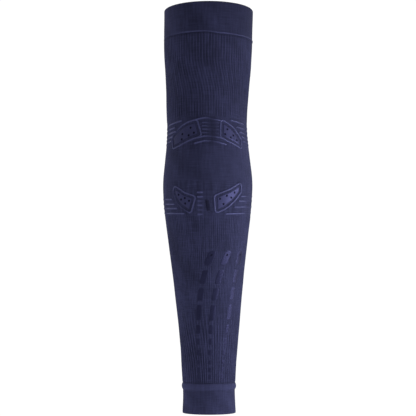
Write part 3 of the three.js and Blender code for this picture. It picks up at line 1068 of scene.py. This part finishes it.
@dataclass
class WristRing(KnitZone):
    """The turned roll at the wrist, with its fine upright gathers."""

    name: str = "wrist_ring_fabric"
    node: str = "wrist_ring"
    slot: Slot = Slot.DOUBLE
    wall: float = 2.2
    row_step: float = 0.35
    front_step: float = 0.3
    back_step: float = 0.35
    # the roll's relief counts less in the painted tone, so it takes little painted highlight
    tone_share: float = 0.3
    bulge: float = 1.15
    fullness: float = 0.8
    gathers: EvenRibs = EvenRibs(120, 0.07)

    def relief(self, at: Places) -> Array:
        """Relief of the roll and its gathers."""
        arch = np.sin(math.pi * np.clip(self.span.share(at.level), 0.0, 1.0))
        return self.bulge * arch**self.fullness + self.gathers.relief(at) * arch


@dataclass
class WristCuff(KnitZone):
    """The doubled cuff: close, even ribs and a few courses of hem at its lower edge."""

    name: str = "wrist_cuff_fabric"
    node: str = "wrist_cuff"
    slot: Slot = Slot.DOUBLE
    wall: float = 1.8
    row_step: float = 0.6
    front_step: float = 0.3
    back_step: float = 0.35
    rim_low: bool = True
    swells: Swells = Swells(0.1, ((3, 40.0, 0.0), (7, 23.0, 2.0)))
    ribs: EvenRibs = EvenRibs(120, 0.06)
    hem: Ramp = Ramp(17.0, 19.0, 0.1)
    hem_pitch: float = 1.9
    top: Ramp = Ramp(0.0, 1.6)

    def relief(self, at: Places) -> Array:
        """Relief of the ribs, the hem and slow swells.

        Args:
            at: places on the cuff.

        Returns:
            Millimetres of relief.
        """
        drop = self.span.high - at.level
        hem = self.hem.at(drop) * np.cos(TAU * drop / self.hem_pitch)
        return (self.ribs.relief(at) + self.swells.relief(at) + hem) * self.top.at(drop)


def operator(operation: str, reflected: bool = False) -> Callable[["Value", "Value | float"], "Value"]:
    """Makes an operator of Value.

    Args:
        operation: the Math node's operation.
        reflected: whether the other value comes first.

    Returns:
        The method.
    """

    def method(self: "Value", other: "Value | float") -> "Value":
        """Adds the Math node."""
        return self.math(operation, other, self) if reflected else self.math(operation, self, other)

    return method


class Value:
    """A shader socket that can be used in sums."""

    def __init__(self, sheet: "NodeSheet", socket: bpy.types.NodeSocket | None) -> None:
        """Wraps an output socket of a node tree."""
        self.sheet = sheet
        self.socket = socket

    def math(self, operation: str, *values: "Value | float") -> "Value":
        """Adds a Math node on values."""
        return self.sheet.node("Math", dict(enumerate(values)), operation=operation)

    __add__ = __radd__ = operator("ADD")
    __sub__ = operator("SUBTRACT")
    __rsub__ = operator("SUBTRACT", reflected=True)
    __mul__ = __rmul__ = operator("MULTIPLY")
    __truediv__ = operator("DIVIDE")

    def fraction(self) -> "Value":
        """What is left over a whole number."""
        return self.math("FRACT", self)

    def size(self) -> "Value":
        """Distance from nought."""
        return self.math("ABSOLUTE", self)

    def wave(self) -> "Value":
        """Even wave from 0 to 1 that peaks at each whole number."""
        return self.math("COSINE", self * TAU) * 0.5 + 0.5

    def swing(self, amount: float) -> "Value":
        """A value about a half, turned into one about nought."""
        return (self - 0.5) * amount

    def limited(self) -> "Value":
        """Kept between 0 and 1."""
        return self.sheet.node("Clamp", {"Value": self, "Min": 0.0, "Max": 1.0})

    def share(self, low: float, high: float) -> "Value":
        """Rise from 0 to 1 between two values."""
        return ((self - low) / (high - low)).limited()


class NodeSheet:
    """Writes the node tree of a material or a world."""

    def __init__(self, owner: bpy.types.Material | bpy.types.World) -> None:
        """Starts with an empty tree.

        Args:
            owner: the material or world that the tree belongs to.
        """
        owner.use_nodes = True
        self.owner = owner
        self.tree = owner.node_tree
        self.tree.nodes.clear()

    def node(self, kind: str, inputs: dict, output: int | str = 0, **settings: str) -> Value:
        """Adds a node.

        Args:
            kind: the node's type, without its first word.
            inputs: values or links of its sockets, by name or number.
            output: which output to return.
            settings: its properties.

        Returns:
            The chosen output, empty for a node without outputs.
        """
        node = self.tree.nodes.new(f"ShaderNode{kind}")
        for key, value in settings.items():
            setattr(node, key, value)
        for key, value in inputs.items():
            if isinstance(value, Value):
                self.tree.links.new(value.socket, node.inputs[key])
            else:
                node.inputs[key].default_value = value
        return Value(self, node.outputs[output] if len(node.outputs) else None)

    def attribute(self, name: str) -> Value:
        """A number stored on the mesh."""
        return self.node("Attribute", {}, "Fac", attribute_name=name)

    def stitch_place(self) -> Value:
        """Stitch coordinates, X round the arm and Y along it, in units that differ from piece to piece."""
        return self.node("UVMap", {}, uv_map=STITCH_MAP)

    def stitch_axis(self, axis: str) -> Value:
        """One of the stitch coordinates: X round the arm or Y along it."""
        return self.node("SeparateXYZ", {0: self.stitch_place()}, axis)

    def noise(self, place: Value, stretch: tuple[float, float, float], **settings: float) -> Value:
        """Noise about a half over coordinates, stretched by factors on their axes."""
        spread = self.node("VectorMath", {0: place, 1: stretch}, operation="MULTIPLY")
        return self.node("TexNoise", {"Vector": spread, **settings}, "Fac")

    def grain(self, scale: float, detail: float, upright: float = 1.0) -> Value:
        """Noise in grains for each metre over the object's own space."""
        place = self.node("TexCoord", {}, "Object")
        return self.noise(place, (1.0, 1.0, upright), Scale=scale, Detail=detail, Roughness=OCTAVE_SHARE)

    def streaks(self, around: float, along: float) -> Value:
        """Noise in streaks for each wale and each course."""
        return self.noise(self.stitch_place(), (around, along, 0.0), Scale=1.0, Detail=STREAK_OCTAVES)

    def blend(self, factor: Value, first: Value | Colour, second: Value | Colour) -> Value:
        """Mix of two colours, from the first where the factor is 0 to the second where it is 1."""
        pair = [paint if isinstance(paint, Value) else opaque(paint) for paint in (first, second)]
        return self.node("Mix", {0: factor, 6: pair[0], 7: pair[1]}, 2, data_type="RGBA")

    def bump(self, height: Value, distance: float, strength: float) -> Value:
        """Bump from a height and its depth in millimetres."""
        return self.node("Bump", {"Height": height, "Distance": distance * MM, "Strength": strength})

    def finish(self, sockets: dict) -> bpy.types.Material:
        """Adds the shader, with values or links of its sockets, and the output."""
        self.node("OutputMaterial", {"Surface": self.node("BsdfPrincipled", sockets)})
        return self.owner


def opaque(paint: Colour) -> tuple[float, float, float, float]:
    """A colour for a socket, from its linear parts."""
    return (*paint, 1.0)


@dataclass(frozen=True)
class KnitFinish:
    """Matte knitted yarn with its stitches, a soft fuzz and slight variation of the dye.

    The tone goes from the dark colour to the yarn over the tone reliefs, which paints shade in the grooves,
    and on to the shinier crest over the crest reliefs, painted lighter there as a highlight. A mix is how
    much a part counts in the tone; the stitches' height counts too and paints shade between their legs,
    while the streaks, clouds and fibres vary the dye. Fibres and clouds are grains for each metre and
    octaves, and streaks are counted for each wale and each course.
    """

    name: str
    yarn: Colour = (0.0335, 0.036, 0.087)
    # the darkest colour: painted shade in the grooves, and the dark end of the dye's streaks
    groove_shade_and_dark_dye: Colour = (0.012, 0.013, 0.03)
    # the crest's colour: a painted highlight
    crest: Colour = (0.052, 0.056, 0.136)
    fuzz_tint: Colour = (0.42, 0.45, 0.95)
    gloss_tint: Colour = (0.4, 0.42, 1.0)
    tone_reliefs: Span = (-0.2, 0.22)
    crest_reliefs: Span = (9.0, 10.0)
    roughness: float = 0.85
    crest_roughness: float = 0.36
    gloss: float = 0.45
    fuzz: float = 0.12
    fuzz_roughness: float = 0.45
    stitch_depth: float = 0.16
    bump_strength: float = 0.7
    leg_lean: float = 0.62
    loop_mix: float = 0.65
    course_ribs: float = 0.0
    fibres: Span = (2600.0, 3.0)
    fibre_mix: float = 0.7
    fibre_bump: float = 0.5
    fibre_roughness: float = 0.12
    row_streaks: Span = (0.07, 1.1)
    row_mix: float = 1.3
    column_streaks: Span = (0.6, 0.05)
    column_mix: float = 1.5
    clouds: Span = (38.0, 3.0)
    cloud_height: float = 0.6
    streaks: float = 1.0
    stitch_mix: float = 0.25
    darkening: float = 0.06
    least_crest: float = 0.5

    def stitch(self, sheet: NodeSheet) -> Value:
        """Height of the stitches: two leaning legs to a wale, and ribs along the courses if any.

        Args:
            sheet: the sheet to write on.

        Returns:
            Values of 0 to 1.
        """
        course = sheet.stitch_axis("Y")
        beside = (sheet.stitch_axis("X").fraction() - 0.5).size() * 2.0
        from_leg = beside * 2.0 - 1.0
        loop = (course + beside * self.leg_lean).wave()
        stitch = (1.0 - from_leg * from_leg) * (loop * self.loop_mix + (1.0 - self.loop_mix))
        if self.course_ribs > 0.0:
            stitch = stitch * (1.0 - self.course_ribs) + course.wave() * self.course_ribs
        return stitch

    def material(self) -> bpy.types.Material:
        """Builds the material.

        Returns:
            The material.
        """
        sheet = NodeSheet(bpy.data.materials.new(self.name))
        stitch = self.stitch(sheet)
        relief = sheet.attribute("relief")
        fibres = sheet.grain(*self.fibres)
        rows = sheet.streaks(*self.row_streaks).swing(self.row_mix)
        columns = sheet.streaks(*self.column_streaks).swing(self.column_mix)
        clouds = sheet.grain(*self.clouds, upright=self.cloud_height) - 0.5
        uneven = (rows + columns + clouds) * self.streaks + fibres.swing(self.fibre_mix)
        # the relief and the stitches' height paint shade low down and light on top
        lit = relief.share(*self.tone_reliefs) * (1.0 - self.stitch_mix) + stitch * self.stitch_mix
        tone = (lit + uneven - self.darkening).limited()
        raised = relief.share(*self.crest_reliefs)
        dye_and_painted_light = sheet.blend(tone, self.groove_shade_and_dark_dye, self.yarn)
        shown = tone * (1.0 - self.least_crest) + self.least_crest
        # crests painted lighter as a highlight
        dye_and_painted_light = sheet.blend(raised * shown, dye_and_painted_light, self.crest)
        rough = raised * (self.crest_roughness - self.roughness) + self.roughness
        return sheet.finish({
            # the shade mark darkens the colour towards black: painted shade
            "Base Color": sheet.blend(sheet.attribute("shade"), BLACK, dye_and_painted_light),
            "Roughness": (rough + fibres.swing(self.fibre_roughness)).limited(),
            "Normal": sheet.bump(stitch + fibres * self.fibre_bump, self.stitch_depth, self.bump_strength),
            "Sheen Weight": self.fuzz,
            "Sheen Roughness": self.fuzz_roughness,
            "Sheen Tint": opaque(self.fuzz_tint),
            "Specular IOR Level": self.gloss,
            "Specular Tint": opaque(self.gloss_tint),
        })


@dataclass(frozen=True)
class SatinFinish:
    """Smooth, slightly glossy yarn of the pads and dashes, dull in the dots, with painted shade in the dots
    and a painted sheen on the pads.
    """

    name: str
    yarn: Colour = (0.032, 0.034, 0.083)
    shade: Colour = (0.0026, 0.0028, 0.007)
    gloss_tint: Colour = (0.36, 0.37, 1.0)
    roughness: float = 0.5
    pit_roughness: float = 0.5
    gloss: float = 0.46
    row_pitch: float = 0.7
    thread_pitch: float = 0.55
    stitch_depth: float = 0.06
    bump_strength: float = 0.5
    row_bump: float = 0.3
    thread_bump: float = 0.6
    fibre_bump: float = 0.4
    fibres: Span = (1800.0, 2.0)
    fibre_mix: float = 0.5
    fibre_roughness: float = 0.15
    clouds: Span = (90.0, 2.0)
    cloud_mix: float = 0.4
    lit_mix: float = 0.6
    thread_mix: float = 0.15
    brightening: float = 0.15

    def material(self) -> bpy.types.Material:
        """Builds the material.

        Returns:
            The material.
        """
        sheet = NodeSheet(bpy.data.materials.new(self.name))
        rows = (sheet.stitch_axis("Y") / self.row_pitch).wave()
        threads = (sheet.stitch_axis("X") / self.thread_pitch).wave()
        fibres = sheet.grain(*self.fibres)
        clouds = sheet.grain(*self.clouds).swing(self.cloud_mix)
        weave = rows * self.row_bump + threads * self.thread_bump + fibres * self.fibre_bump
        pit = sheet.attribute("pit")
        # the relief mark is the painted sheen of the pads, and the pit mark paints shade into the dots
        lit = sheet.attribute("relief") * self.lit_mix + threads * self.thread_mix + self.brightening
        tone = (lit + fibres.swing(self.fibre_mix) + clouds - pit).limited()
        rough = fibres.swing(self.fibre_roughness) + self.roughness + pit * self.pit_roughness
        return sheet.finish({
            "Base Color": sheet.blend(tone, self.shade, self.yarn),
            "Roughness": rough.limited(),
            "Normal": sheet.bump(weave, self.stitch_depth, self.bump_strength),
            "Specular IOR Level": self.gloss,
            "Specular Tint": opaque(self.gloss_tint),
        })


@dataclass(frozen=True)
class Lamp:
    """A soft rectangular light. Sizes are in metres, its power in watts, its turn from the camera."""

    name: str
    turn: float
    height: float
    width: float
    tallness: float
    power: float
    glossy: bool = False
    distance: float = 0.5
    aim: float = -0.18

    def build(self) -> None:
        """Adds the light, which gives highlights only if it is glossy and else plain light only."""
        data = bpy.data.lights.new(self.name, "AREA")
        data.shape = "RECTANGLE"
        data.size, data.size_y = self.width, self.tallness
        data.energy = self.power
        lamp = bpy.data.objects.new(self.name, data)
        angle = math.radians(self.turn)
        lamp.location = (self.distance * math.sin(angle), -self.distance * math.cos(angle), self.height)
        sight = Vector((0.0, 0.0, self.aim)) - lamp.location
        lamp.rotation_euler = sight.to_track_quat("-Z", "Y").to_euler()
        lamp.visible_camera = False
        lamp.visible_diffuse = not self.glossy
        lamp.visible_glossy = self.glossy
        bpy.context.scene.collection.objects.link(lamp)


@dataclass
class Studio:
    """The camera, the pale floor and the soft lights, with sizes in metres."""

    distance: float = 2.0
    eye_level: float = -0.048
    view_width: float = 0.442
    clip_end: float = 100.0
    floor_level: float = -0.46
    floor_radius: float = 9.0
    floor_sides: int = 64
    seen_white: float = 1.05
    lighting_white: float = 0.42

    def camera(self) -> None:
        """Adds the camera, level with the forearm and square to the elbow's point."""
        data = bpy.data.cameras.new("camera")
        data.lens = data.sensor_width * self.distance / self.view_width
        data.clip_end = self.clip_end
        camera = bpy.data.objects.new("camera", data)
        camera.location = (0.0, -self.distance, self.eye_level)
        camera.rotation_euler = (math.pi / 2.0, 0.0, 0.0)
        bpy.context.scene.collection.objects.link(camera)
        bpy.context.scene.camera = camera

    def world(self) -> None:
        """Sets a white surround, which lights the sleeve less than it shows."""
        world = bpy.data.worlds.new("surround")
        sheet = NodeSheet(world)
        seen = sheet.node("LightPath", {}, "Is Camera Ray")
        strengths = {"Value": seen, "To Min": self.lighting_white, "To Max": self.seen_white}
        strength = sheet.node("MapRange", strengths)
        ground = sheet.node("Background", {"Color": opaque(WHITE), "Strength": strength})
        sheet.node("OutputWorld", {"Surface": ground})
        bpy.context.scene.world = world

    def floor(self) -> None:
        """Adds the pale floor."""
        bpy.ops.mesh.primitive_circle_add(
            vertices=self.floor_sides,
            radius=self.floor_radius,
            fill_type="NGON",
            location=(0.0, 0.0, self.floor_level),
        )
        floor = bpy.context.active_object
        floor.name = "pale_floor"
        sheet = NodeSheet(bpy.data.materials.new("pale_floor"))
        glow = sheet.node("Emission", {"Color": opaque(WHITE), "Strength": self.seen_white})
        sheet.node("OutputMaterial", {"Surface": glow})
        floor.data.materials.append(sheet.owner)
        floor.visible_diffuse = False
        floor.visible_glossy = False

    def build(self) -> None:
        """Sets up the whole studio."""
        view = bpy.context.scene.view_settings
        view.view_transform = "Standard"
        view.look = "None"
        self.camera()
        self.world()
        self.floor()
        lamps = [
            # name, turn, height, width, tallness, power
            Lamp("key", 50.0, -0.32, 0.25, 0.45, 2.5),
            Lamp("side", 105.0, -0.38, 0.25, 0.3, 1.2),
            Lamp("rim", -95.0, -0.3, 0.25, 0.45, 1.6),
            Lamp("fill", -40.0, -0.4, 0.25, 0.3, 0.55),
            Lamp("gleam", 64.0, -0.08, 0.25, 0.38, 3.6, glossy=True),
        ]
        for lamp in lamps:
            lamp.build()


@dataclass
class Sleeve:
    """The whole sleeve: its zones, pads and rows of dashes, with their finishes."""

    arm: ArmForm = field(default_factory=ArmForm)
    upper_band: Stretch = Stretch(10.0, 42.5)
    lower_band: Stretch = Stretch(-56.0, -20.5)
    welt_height: float = 33.5
    cuff_height: float = 25.0
    ring_height: float = 7.5

    def pads(self) -> list[Pad]:
        """The four pads, the upper pair first.

        Returns:
            The pads, each with its own outline and dots.
        """
        return [
            Pad(
                "upper_pad_right", self.upper_band, inner=23.9, tip=52.4, slant=-3.2,
                rows=((0.393, 0.775), (0.325, 0.69), (0.272, 0.599), (0.217, 0.46), (0.156, 0.312)),
                dots=((0.23, 0.593), (0.1, 0.435), (0.42, 0.354), (0.58, 0.426), (0.8, 0.3)),
            ),
            Pad(
                "upper_pad_left", self.upper_band, inner=-20.0, tip=-62.3, slant=12.8,
                rows=((0.425, 0.785), (0.362, 0.73), (0.283, 0.636), (0.205, 0.504), (0.145, 0.384)),
                dots=((0.2, 0.629), (0.56, 0.457), (0.13, 0.469), (0.33, 0.4), (0.62, 0.3)),
                frame=0.82, faint=0.5,
            ),
            Pad(
                "lower_pad_right", self.lower_band, inner=10.9, tip=43.0, slant=2.4,
                rows=((0.185, 0.536), (0.264, 0.612), (0.383, 0.677), (0.537, 0.758), (0.725, 0.849)),
                dots=((0.11, 0.497), (0.4, 0.585), (0.6, 0.532), (0.76, 0.68), (0.25, 0.342)),
                hand=-1.0,
            ),
            Pad(
                "lower_pad_left", self.lower_band, inner=-13.2, tip=-41.6, slant=-13.7,
                rows=((0.176, 0.516), (0.259, 0.566), (0.349, 0.616), (0.478, 0.7), (0.708, 0.763)),
                dots=((0.12, 0.438), (0.37, 0.518), (0.55, 0.476), (0.75, 0.618), (0.28, 0.358)),
                hand=-1.0, frame=0.78, faint=0.5,
            ),
        ]

    def bands(self) -> tuple[ElbowBand, ElbowBand]:
        """The two relief bands.

        Returns:
            The upper and the lower band.
        """
        pads = self.pads()
        crown = ((-16.0, 0.885), (-9.0, 0.92), (-2.0, 0.94), (4.0, 0.92), (8.0, 0.89), (20.0, 0.86))
        threshold = ((-13.0, 0.32), (-4.0, 0.365), (5.0, 0.36), (19.0, 0.32))
        sill = ((-17.0, 0.155), (-4.0, 0.225), (5.0, 0.22), (14.0, 0.19), (25.0, 0.13))
        upper = ElbowBand(
            self.arm, self.upper_band, "upper_band_fabric", "upper_elbow_band", pads=pads[:2],
            rung_ends=(-6.5, 16.0), rungs=((0.785, 0.6), (0.675, 0.6), (0.57, 0.6), (0.465, 0.55)),
            rung_fade=Ramp(-2.0, 4.0, 0.4), calm=Hump(0.5, 6.0, 8.0),
            side_ribs=(
                (35.5, 0.9, 0.78), (47.0, 0.715, 0.645), (53.0, 0.565, 0.48),
                (57.0, 0.43, 0.36), (60.0, 0.3, 0.25),
                (-39.0, 0.885, 0.765), (-52.0, 0.7, 0.65), (-50.0, 0.575, 0.5),
                (-57.0, 0.43, 0.38), (-60.0, 0.3, 0.25),
            ),
            long_ribs=(crown, threshold, sill), dimples=((16.9, 0.708), (14.6, 0.485)),
            # painted shade up the middle of the ladder
            crease_shade=Hump(0.4, 7.0, 7.0), crease_shade_levels=(10.0, 16.0),
        )
        lower = LowerBand(
            self.arm, self.lower_band, "lower_band_fabric", "lower_elbow_band", pads=pads[2:],
            rung_ends=(-12.3, 6.0),
            rungs=((0.69, 0.9), (0.56, 0.9), (0.435, 0.4), (0.31, 0.55), (0.175, 0.4), (0.045, 0.6)),
            rung_width=2.3, rung_fade=Ramp(-9.0, -4.5, 0.8), right_loss=Ramp(50.0, 62.0, 0.65),
            side_ribs=(
                (48.5, 0.57, 0.565), (44.5, 0.43, 0.425), (37.5, 0.255, 0.255), (24.5, 0.05, 0.09),
                (-53.0, 0.48, 0.475), (-48.5, 0.34, 0.335), (-44.0, 0.214, 0.205), (-33.0, 0.065, 0.065),
            ),
            # painted shade down the middle of the ladder's top
            crease_shade=Hump(0.2, 1.0, 8.0), crease_shade_levels=(-22.0, -30.0),
        )
        return upper, lower

    def dashes(self) -> list[DashPiece]:
        """The dashes of the three rows, from the top down.

        Returns:
            The dashes, each row's head first.
        """
        rows = [
            # name, turn at the start, turn at the end, ease
            DashRow("row_1", 8.0, -23.0, 2.95),
            DashRow("row_2", 32.6, 1.2, 2.8),
            DashRow("row_3", 58.0, 28.5, 1.35),
        ]
        shares = [
            # start, end, width as a share of the head's
            (0.0, 0.116, 1.0),
            (0.15, 0.258, 0.75),
            (0.289, 0.386, 0.69),
            (0.42, 0.542, 0.63),
            (0.576, 0.646, 0.51),
            (0.681, 0.731, 0.44),
            (0.77, 0.813, 0.42),
            (0.85, 0.883, 0.38),
            (0.906, 0.941, 0.36),
            (0.962, 1.0, 0.34),
        ]
        numbered = list(enumerate(shares))
        return [DashPiece(row, self.arm, number, *share) for row in rows for number, share in numbered]

    def zones(self, dashes: list[DashPiece]) -> list[KnitZone]:
        """The tubes of knit.

        Args:
            dashes: the dashes that lie on the forearm.

        Returns:
            The zones, from the top down.
        """
        arm, upper, lower = self.arm, self.upper_band, self.lower_band
        welt = arm.upper_length - self.welt_height
        cuff = self.cuff_height - arm.forearm_length
        ring = cuff + self.ring_height
        upper_band, lower_band = self.bands()
        return [
            Welt(arm, Stretch(welt, arm.upper_length)),
            UpperArm(arm, Stretch(upper.high, welt)),
            upper_band,
            ElbowCap(arm, Stretch(lower.high, upper.low)),
            lower_band,
            Forearm(arm, Stretch(ring, lower.low), dashes=dashes),
            WristRing(arm, Stretch(cuff, ring)),
            WristCuff(arm, Stretch(-arm.forearm_length, cuff)),
        ]

    def finishes(self) -> dict[Slot, bpy.types.Material]:
        """The materials.

        Returns:
            A material for each slot.
        """
        # the doubled knit paints its rolled edges lighter over the crest reliefs: painted highlight
        doubled = KnitFinish(
            Slot.DOUBLE.value, stitch_depth=0.14, course_ribs=0.5, crest_reliefs=(0.4, 0.8), streaks=0.7
        )
        # the band paints shade beside its frames and rungs, and highlights along their tops
        band = KnitFinish(
            Slot.BAND.value, stitch_depth=0.13, tone_reliefs=(-0.4, 0.5), crest_reliefs=(0.25, 0.65)
        )
        return {
            Slot.DOUBLE: doubled.material(),
            Slot.RIB: KnitFinish(Slot.RIB.value).material(),
            Slot.BAND: band.material(),
            Slot.PLAIN: KnitFinish(Slot.PLAIN.value, streaks=0.55).material(),
            Slot.PAD: SatinFinish(Slot.PAD.value).material(),
        }

    def dress(self, piece: Piece, node: str, material: bpy.types.Material) -> None:
        """Gives a piece its finish and its place in the frame.

        Args:
            piece: the piece.
            node: the node that it stands for.
            material: the finish.
        """
        piece.data.materials.append(material)
        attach(piece, BODY)
        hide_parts(node)
        log.info("%s stands for %s with %d faces", piece.name, node, len(piece.data.polygons))

    def build(self) -> None:
        """Builds and dresses every piece."""
        finishes = self.finishes()
        dashes = self.dashes()
        for zone in self.zones(dashes):
            self.dress(zone.build(), zone.node, finishes[zone.slot])
        for smooth in [*(PadPiece(pad, self.arm) for pad in self.pads()), *dashes]:
            self.dress(smooth.build(), smooth.node, finishes[Slot.PAD])


def main() -> None:
    """Loads the frame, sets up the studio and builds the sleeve."""
    logging.basicConfig(level=logging.INFO, format="%(name)s: %(message)s")
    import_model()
    Studio().build()
    Sleeve().build()


if __name__ == "__main__":
    main()
